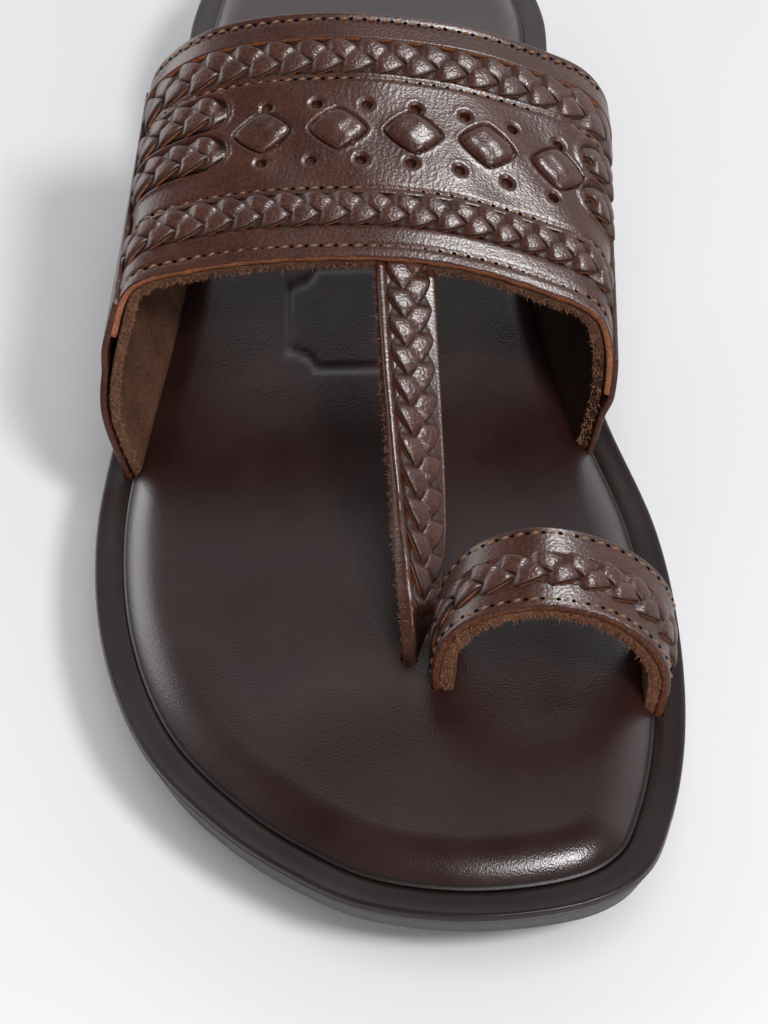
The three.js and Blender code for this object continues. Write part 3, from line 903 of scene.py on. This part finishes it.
def add_footbed():
    def seat(y, x, share):
        return rim_top(y) - SEAT_DEPTH + CLEARANCE

    footbed = closed_solid("footbed_pad", footbed_rings(), seat, footbed_height, 8, 160)
    cut_slots(footbed)
    x, y, z = read_points(footbed).T
    # Painted shade: marks the footbed where it sits low by the rim, so its groove is darkened.
    mark(footbed, "crease", 1 - smooth(z - rim_top(y), 0.3, 0.9))
    to_metres(footbed)
    hand_over(footbed, footbed_leather, "footbed", "footbed")


def add_outsole():
    def seat(y, x, share):
        return rim_top(y) - SEAT_DEPTH

    def tread(y, x, share):
        back = y + SOLE_LENGTH / 2
        waves = np.cos(2 * math.pi * (back + 2.5 * np.cos(x / 6)) / TREAD_PITCH)
        groove = np.maximum(0, waves - 0.75) / 0.25
        treaded = smooth(share, 0.06, 0.1) * (1 - smooth(share, 0.9, 0.94))
        away = 1 - smooth(back, 125, 132) * (1 - smooth(back, 206, 213))
        ends = smooth(back, 14, 20) * (1 - smooth(back, 266, 272))
        return tread_height(y, x) + TREAD_DEPTH * groove * treaded * away * ends

    outsole = closed_solid("moulded_outsole", outsole_rings(), tread, seat, 60, 8)
    cut_slots(outsole)
    points = read_points(outsole)
    drop = rim_top(points[:, 1]) - points[:, 2]
    mark(outsole, "wall", smooth(drop, 1.1, 1.3))
    to_metres(outsole)
    hand_over(outsole, sole_rubber, "sole", "outsole")


add_outsole()
add_footbed()


# ---------- Plaits ----------
def plait(name, node, face, along, across, pitch, strip, lift, tuck=4.0):
    """Three leather strips plaited flat, the scales of both rows closing towards the strap's end.

    Pitch is a scale's length, strip a strip's width, tuck the length over which its ends dive.
    """
    period = 3 * pitch
    swing = (across[1] - across[0] - strip) / 2
    middle = sum(across) / 2
    strands = []
    for k in range(3):
        strand = leather("strand", along, (-strip / 2, strip / 2), 0.4, strip / 8, PLAIT_THICKNESS, 0.22,
                         raw_below=0.35)
        x, y, z = read_points(strand).T
        ends = smooth(np.minimum(x - along[0], along[1] - x), 0, tuck)
        angle = 2 * math.pi * (x / period + k / 3)
        reach = swing * (0.35 + 0.65 * ends)
        lean = np.arctan(reach * 2 * math.pi / period * np.cos(angle))
        narrow = y * (0.6 + 0.4 * ends)
        share = np.abs(2 * y / strip)
        crown = -0.06 * share ** 2 - 0.24 * share ** 5
        over = -0.54 * np.tanh(2.2 * np.sin(2 * angle))
        points = np.stack([
            x - narrow * np.sin(lean),
            middle + reach * np.sin(angle) + narrow * np.cos(lean),
            z + crown + over + lift - 1.6 * (1 - ends),
        ], axis=1)
        # Painted shade: darkens the strands' long edges, the gaps between scales, and where a strand
        # dives under the others.
        mark(strand, "crease", 0.9 * smooth(share, 0.8, 1.0) * (z > -0.3) + 0.5 * smooth(-over, 0, 0.5))
        move_points(strand, points)
        strands.append(strand)
    fit(join(name, strands), face, plait_leather, "plait", node)


def add_plaits():
    start = EAR_TOP_LATERAL - 5
    front_run = (start, EAR_TOP_MEDIAL + 4)
    rear_run = (start, EAR_TOP_MEDIAL_REAR + 3)
    plait("front_plait", "plait_front", band_face, front_run, FRONT_PLAIT, 5.2, 3.6, 0.35)
    plait("rear_plait", "plait_rear", band_face, rear_run, REAR_PLAIT, 5.9, 4.1, 0.35)
    lateral = (EAR_TOP_LATERAL - 4, 56.5)
    medial = (123.4, EAR_TOP_MEDIAL + 5)
    for number, run, across in (
        (1, lateral, (21.6, 28.9)), (2, lateral, (30.6, 38.0)),
        (3, medial, (21.8, 28.8)), (4, medial, (30.8, 37.8)),
    ):
        plait(f"side_plait_{number}", f"plait_side_{number}", band_face, run, across, 5.2, 3.5, 0.7)
    plait("thong_plait", "plait_thong", thong_face, (-6, 84), (1.5, 8.5), 6.0, 3.4, 0.7, tuck=5)
    plait("loop_plait", "plait_toe_loop", loop_face, (5, 74), (4.0, 10.5), 5.4, 3.3, 0.45)


add_plaits()


# ---------- The instep band ----------
LOZENGE_MIDDLES = [(63 + 13.9 * i, 28.2) for i in range(5)]
LOZENGE_LENGTH = 10.4
LOZENGE_WIDTH = 9.2
LOZENGE_RISE = 1.3
LOZENGE_SINK = 0.55
REAR_HOLES = [(63.8 + 9.2 * i, 33.7) for i in range(7)]
FRONT_HOLES = [(63 + 9.05 * i, 21.2) for i in range(7)]
HOLES = REAR_HOLES + FRONT_HOLES
HOLE_RADIUS = 1.05
SLITS = [(52.5, 25.3), (52.5, 34.3), (127.4, 25.3), (127.4, 34.3)]
SLIT_RADIUS = 3.5
STITCH_PITCH = 2.6
STITCH_TILT = 10


def lozenge_outline():
    """A quarter of a lozenge's outline: nearly pointed above and below, rounded at its sides."""
    share = np.linspace(0, 1, 200)
    height = (1 - share ** 1.12) ** 0.72
    x = share * LOZENGE_LENGTH / 2
    y = height * LOZENGE_WIDTH / 2
    return np.arctan2(y, x)[::-1], np.hypot(x, y)[::-1]


LOZENGE_TURNS, LOZENGE_REACHES = lozenge_outline()


def lozenge_reach(x, y):
    """How far a lozenge's outline is from its middle, in the direction of a place."""
    return np.interp(np.arctan2(np.abs(y), np.abs(x)), LOZENGE_TURNS, LOZENGE_REACHES)


def outside_lozenges(x, y):
    """How many millimetres a place is outside the nearest lozenge's outline."""
    nearest = np.full(np.shape(x), 99.0)
    for middle_x, middle_y in LOZENGE_MIDDLES:
        dx = x - middle_x
        dy = y - middle_y
        nearest = np.minimum(nearest, (np.hypot(dx, dy) - lozenge_reach(dx, dy)) * 0.85)
    return nearest


def panel_relief(x, y):
    """The middle panel: a crease round each lozenge, lips round the holes, slits for side plaits."""
    outside = outside_lozenges(x, y)
    lift = -0.7 * bump(outside - 0.02, 0.22) + 0.07 * bump(outside - 0.6, 0.4)
    for hole_x, hole_y in HOLES:
        away = np.hypot(x - hole_x, y - hole_y)
        lift = lift - 0.25 * bump(away - HOLE_RADIUS, 0.4) + 0.05 * bump(away - 1.9, 0.5)
    for slit_x, slit_y in SLITS:
        inwards = 1 if slit_x < BAND_LENGTH / 2 else -1
        past = inwards * (x - slit_x)
        away = np.hypot(np.maximum(0, past), y - slit_y) - SLIT_RADIUS
        lift = lift - 0.95 * (1 - smooth(away, 0, 0.5)) + 0.25 * bump(away - 1, 0.5)
    for seam in PANEL_SEAMS:
        lift = lift - 0.2 * bump(y - seam, 0.45)
    swell = 0.16 * np.sin(x / 5.1) * np.sin(y / 4.2 + 0.6) + 0.1 * np.sin(x / 2.9 + y / 3.7)
    wrinkles = 0.012 * np.sin(x * 5.6 + 1.7 * np.sin(y * 0.9) + 1.1 * np.sin(x * 0.7 + y))
    under_ear = np.maximum(smooth(EAR_TOP_LATERAL + 1 - x, 0, 5), smooth(x - EAR_TOP_MEDIAL, 0, 5))
    return lift + swell + wrinkles - 0.35 * under_ear


def punch(piece, places, radius):
    """Cuts round holes in a flat sheet and rounds their rims."""
    select(piece)
    mesh = piece.data
    bpy.ops.object.mode_set(mode="EDIT")
    bpy.ops.mesh.select_mode(type="FACE")
    bpy.ops.mesh.select_all(action="DESELECT")
    bpy.ops.object.mode_set(mode="OBJECT")
    centres = np.zeros(len(mesh.polygons) * 3)
    mesh.polygons.foreach_get("center", centres)
    centres = centres.reshape(-1, 3)
    inside = np.zeros(len(centres), bool)
    for x, y in places:
        inside |= np.hypot(centres[:, 0] - x, centres[:, 1] - y) < radius
    mesh.polygons.foreach_set("select", inside)
    bpy.ops.object.mode_set(mode="EDIT")
    bpy.ops.mesh.delete(type="FACE")
    bpy.ops.object.mode_set(mode="OBJECT")
    uses = np.zeros(len(mesh.loops), int)
    mesh.loops.foreach_get("edge_index", uses)
    ends = np.zeros(len(mesh.edges) * 2, int)
    mesh.edges.foreach_get("vertices", ends)
    open_edges = np.bincount(uses, minlength=len(mesh.edges)) == 1
    on_rim = np.zeros(len(mesh.vertices), bool)
    on_rim[ends.reshape(-1, 2)[open_edges].ravel()] = True
    points = read_points(piece)
    for x, y in places:
        away = points[:, :2] - (x, y)
        distance = np.linalg.norm(away, axis=1)
        near = (distance < radius * 2) & (distance > 0)
        pushed = radius * 1.15 + (distance - radius * 0.95).clip(0) * 0.81
        pushed = np.where(on_rim & (distance < radius * 1.6), radius, pushed)
        points[near, :2] = (x, y) + away[near] * (pushed[near] / distance[near])[:, None]
    move_points(piece, points)


def add_panel():
    run = (EAR_TOP_LATERAL - LAP, EAR_TOP_MEDIAL_REAR + LAP)
    middle = sheet("panel", run, PANEL, 0.34, 0.34)
    punch(middle, HOLES, HOLE_RADIUS)
    thicken(middle, LEATHER, 0.25)
    record_flat_place(middle, 0.45, 0.6)
    relieve(middle, panel_relief, -LEATHER - 0.15)
    front = leather("front_strip", run, FRONT_STRIP, 1.0, 0.45, LEATHER, 0.4)
    relieve(front, front_relief, -LEATHER)
    fray(front, 0.12)
    rear = leather("rear_strip", run, REAR_STRIP, 1.0, 0.45, LEATHER, 0.35)
    relieve(rear, rear_relief, -LEATHER)
    piece = join("instep_leather", [middle, front, rear])
    fit(piece, band_face, strap_leather, "strap", "instep_panel")


def front_relief(x, y):
    seam = -0.22 * bump(y - FRONT_SEAM, 0.5)
    return seam + 0.16 * np.sin(x / 4.3) * np.sin(y / 2.9) - 0.25 * smooth(y, 6.2, 7.3)


def rear_relief(x, y):
    seam = -0.22 * bump(y - REAR_SEAM, 0.5)
    return 0.5 + seam + 0.12 * np.sin(x / 5.3 + 1) - 0.09 * (y - 51)


def add_lining():
    run = (2, BAND_LENGTH - 2)
    lining = sheet("band_lining", run, (0, BAND_WIDTH), 0.9, 1.8)
    thicken(lining, LINING, 0.5, segments=3)
    record_flat_place(lining, 0.3)
    # Painted shade: the lining darkens towards its medial end, inside the band where it lies in shade.
    mark(lining, "crease", 0.85 * smooth(read_points(lining)[:, 0], 120, 145))
    points = read_points(lining)
    edge = np.minimum(points[:, 1], BAND_WIDTH - points[:, 1])
    ragged = 0.22 * np.sin(points[:, 0] * 2.3) * np.sin(points[:, 0] * 0.71 + 1)
    points[:, 1] += ragged * (1 - smooth(edge, 0, 2)) * np.where(points[:, 1] < BAND_WIDTH / 2, 1, -1)
    points[:, 2] -= LEATHER + CLEARANCE
    move_points(lining, points)
    fit(lining, band_face, lining_suede, "lining", "upper")


def ear(name, node, foot, top_front, top_rear):
    """The outer leather at one end of the band, which steps out over the panel's end."""
    piece = leather(name, sorted((foot, top_front)), (0, BAND_WIDTH), 0.7, 1.1, EAR_LEATHER, 0.3,
                    raw_share=0.28)
    points = read_points(piece)
    x, y, z = points.T
    top = top_front + (top_rear - top_front) * y / BAND_WIDTH
    if foot < top_front:
        x = foot + (x - foot) * (top - foot) / (top_front - foot)
        past = x - (top - LAP)
    else:
        x = top + (x - top_front) * (foot - top) / (foot - top_front)
        past = top + LAP - x
    ragged = 0.25 * np.sin(y * 1.9) * np.sin(y * 0.53 + 2)
    at_top = smooth(past, LAP - 1.5, LAP)
    points[:, 0] = x + ragged * at_top
    points[:, 2] = z + 0.8 * smooth(past, -5, -0.3)
    move_points(piece, points)
    fit(piece, band_face, strap_leather, "strap", node)


def add_ears():
    ear("lateral_ear", "ear_lateral", 2, EAR_TOP_LATERAL - 1.5, EAR_TOP_LATERAL - 4)
    ear("medial_ear", "ear_medial", BAND_LENGTH - 2, EAR_TOP_MEDIAL + 5, EAR_TOP_MEDIAL_REAR + 4)


def add_lozenges():
    """Small folded leather diamonds, puffed between their edges."""
    for number, (middle_x, middle_y) in enumerate(LOZENGE_MIDDLES, 1):
        piece = leather(f"diamond_{number}", (-1, 1), (-1, 1), 0.06, 0.06, 0.3, 0.02)
        u, v, z = read_points(piece).T
        puff = ((1 - u.clip(-1, 1) ** 4) * (1 - v.clip(-1, 1) ** 4)) ** 0.27
        puff = puff * (1 - 0.1 * (u ** 2 + v ** 2))
        x = (u - v) / 2 * LOZENGE_LENGTH / 2
        y = (u + v) / 2 * LOZENGE_WIDTH / 2
        straight = np.abs(x) / (LOZENGE_LENGTH / 2) + np.abs(y) / (LOZENGE_WIDTH / 2)
        drawn = lozenge_reach(x, y) * straight / np.maximum(np.hypot(x, y), 1e-6)
        drawn = 1 + (drawn - 1) * np.maximum(np.abs(u), np.abs(v)) ** 2
        x = middle_x + x * drawn
        y = middle_y + y * drawn
        crease = 0.1 * np.sin(1.3 * x + 1.3 * number) * np.sin(1.1 * y + number)
        height = (LOZENGE_RISE + crease) * puff - LOZENGE_SINK
        move_points(piece, np.stack([x, y, z + height], axis=1))
        record_flat_place(piece, 9.0)
        fit(piece, band_face, strap_leather, "plait", f"lozenge_{number}")


def bead(name, segments, rings, size):
    """A small round bead, drawn out to its size."""
    deselect()
    bpy.ops.mesh.primitive_uv_sphere_add(segments=segments, ring_count=rings, radius=0.5)
    bpy.ops.transform.resize(value=size)
    bpy.ops.object.transform_apply(location=True, rotation=True, scale=True)
    return new_piece(name)


def set_in_row(piece, count, face, finish):
    """Repeats a bead along a strap, one for every stitch."""
    apply(piece, "ARRAY", count=count, use_relative_offset=False, use_constant_offset=True,
          constant_offset_displace=(STITCH_PITCH, 0, 0))
    fit(piece, face, finish, "strap")


def stitch_row(name, face, along, across, lift=0.0):
    """A row of thread stitches, each between two needle holes."""
    count = int((along[1] - along[0]) / STITCH_PITCH)
    stitch = bead(name, 10, 7, (1.45, 0.55, 0.6))
    x, y, z = read_points(stitch).T
    lean = math.tan(math.radians(STITCH_TILT))
    move_points(stitch, np.stack([x + along[0], y + x * lean + across, z - 0.5 * x ** 2 + lift], axis=1))
    set_in_row(stitch, count, face, thread)
    # Painted shade: each needle hole is a flat near-black bead at the face, not a hole.
    hole = bead(name + "_holes", 10, 6, (0.85, 0.6, 0.36))
    shift(hole, along[0] + STITCH_PITCH / 2, across, lift - 0.02)
    set_in_row(hole, count, face, painted_hole_shade)


def add_band_stitches():
    run = (EAR_TOP_LATERAL + 1.5, EAR_TOP_MEDIAL - 1)
    for place, across, lift in (
        ("front_edge", FRONT_SEAM, -0.2), ("panel_front", PANEL_SEAMS[0], -0.2),
        ("panel_rear", PANEL_SEAMS[1], -0.2), ("rear_edge", REAR_SEAM, 0.35),
    ):
        stitch_row(place + "_stitches", band_face, run, across, lift)


add_panel()
add_lining()
add_ears()
add_lozenges()
add_band_stitches()


# ---------- The centre strap and the toe loop ----------
def thong_relief(x, y):
    rounded_edge = 0.3 * bump(y - 0.9, 0.8)
    groove = -0.25 * bump(y - 1.6, 0.35)
    return rounded_edge + groove


def add_centre_strap():
    strap = leather("centre_strap", (0, THONG_LENGTH), (0, THONG_WIDTH), 0.7, 0.4, THONG_THICKNESS, 0.4,
                    raw_share=0.35)
    relieve(strap, thong_relief, -THONG_THICKNESS)
    fit(strap, thong_face, strap_leather, "strap", "upper")


def add_toe_loop():
    run = (2, LOOP_LENGTH - 2)
    front = leather("loop_front_strip", run, (0, 5.0), 0.6, 0.4, LOOP_LEATHER, 0.45, raw_share=0.45)
    rear = leather("loop_rear_strip", run, (9.9, LOOP_WIDTH), 0.6, 0.4, LOOP_LEATHER, 0.35)
    fray(front, 0.1)
    shift(rear, 0, 0, 0.3)
    fit(join("loop_leather", [front, rear]), loop_face, strap_leather, "strap", "toe_loop")
    depth = LOOP_THICKNESS - LOOP_LEATHER
    inner = leather("loop_lining", run, (0.1, LOOP_WIDTH - 0.1), 0.6, 0.75, depth, 0.5)
    points = read_points(inner)
    ragged = 0.2 * np.sin(points[:, 0] * 2.9) * np.sin(points[:, 0] * 0.83 + 1)
    points[:, 1] += ragged * (1 - smooth(points[:, 1], 0, 1.5))
    points[:, 2] -= LOOP_LEATHER
    move_points(inner, points)
    fit(inner, loop_face, loop_suede, "lining", "toe_loop")
    stitch_row("loop_front_stitches", loop_face, (8, 71), 1.5)
    stitch_row("loop_rear_stitches", loop_face, (8, 71), 13.8, 0.3)


add_centre_strap()
add_toe_loop()


# ---------- Loose fibres ----------
def fibres(name, face, count, seed, spans, lean, length):
    """Short loose fibres along a raw edge. Spans say where they root, lean the way they point."""
    chance = np.random.default_rng(seed)
    roots = np.stack([chance.uniform(low, high, count) for low, high in spans], axis=1)
    ways = unit(np.array(lean, float) + chance.normal(0, 0.7, (count, 3)))
    lengths = length * chance.uniform(0.35, 1.0, count) ** 1.5
    curl = chance.normal(0, 0.45, (count, 3))
    sides = 3
    levels = 3
    points = []
    faces = []
    for origin, way, size, bend in zip(roots, ways, lengths, curl):
        first = len(points)
        side = np.cross(way, (0.3, 0.5, 0.8))
        side = side / np.linalg.norm(side)
        other = np.cross(way, side)
        for level in range(levels):
            share = level / levels
            centre = origin + (way * share + bend * share ** 2) * size
            for k in range(sides):
                turn = 2 * math.pi * k / sides
                spread = 0.055 * (1 - share) + 0.012
                points.append(centre + (side * math.cos(turn) + other * math.sin(turn)) * spread)
        points.append(origin + (way + bend) * size)
        for level in range(levels - 1):
            for k in range(sides):
                low = first + level * sides
                after = (k + 1) % sides
                faces.append((low + k, low + after, low + sides + after, low + sides + k))
        last = first + (levels - 1) * sides
        faces.extend((last + k, last + (k + 1) % sides, len(points) - 1) for k in range(sides))
        faces.append((first + 2, first + 1, first))
    mesh = bpy.data.meshes.new(name)
    mesh.from_pydata([tuple(point) for point in points], [], faces)
    piece = bpy.data.objects.new(name, mesh)
    bpy.context.scene.collection.objects.link(piece)
    wrap(piece, face)
    in_edit(piece, lambda: bpy.ops.mesh.normals_make_consistent(inside=False))
    hand_over(piece, loose_fibre, "lining")


def add_fibres():
    band_edge = [(4, BAND_LENGTH - 4), (0.0, 0.35), (-3.6, -1.9)]
    loop_edge = [(6, LOOP_LENGTH - 6), (0.0, 0.4), (-3.5, -1.5)]
    thong_edge = [(10, THONG_LENGTH - 6), (0.0, 0.25), (-2.3, -0.6)]
    fibres("band_fibres", band_face, 3200, 3, band_edge, (0, -1, -0.5), 0.85)
    fibres("loop_fibres", loop_face, 1800, 5, loop_edge, (0, -1, -0.4), 0.8)
    fibres("thong_fibres", thong_face, 1000, 7, thong_edge, (0, -1, -0.3), 0.7)


add_fibres()

boxes = {"cad": cad_box, "visual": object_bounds()}
{name: [list(corner) for corner in box] for name, box in boxes.items()}
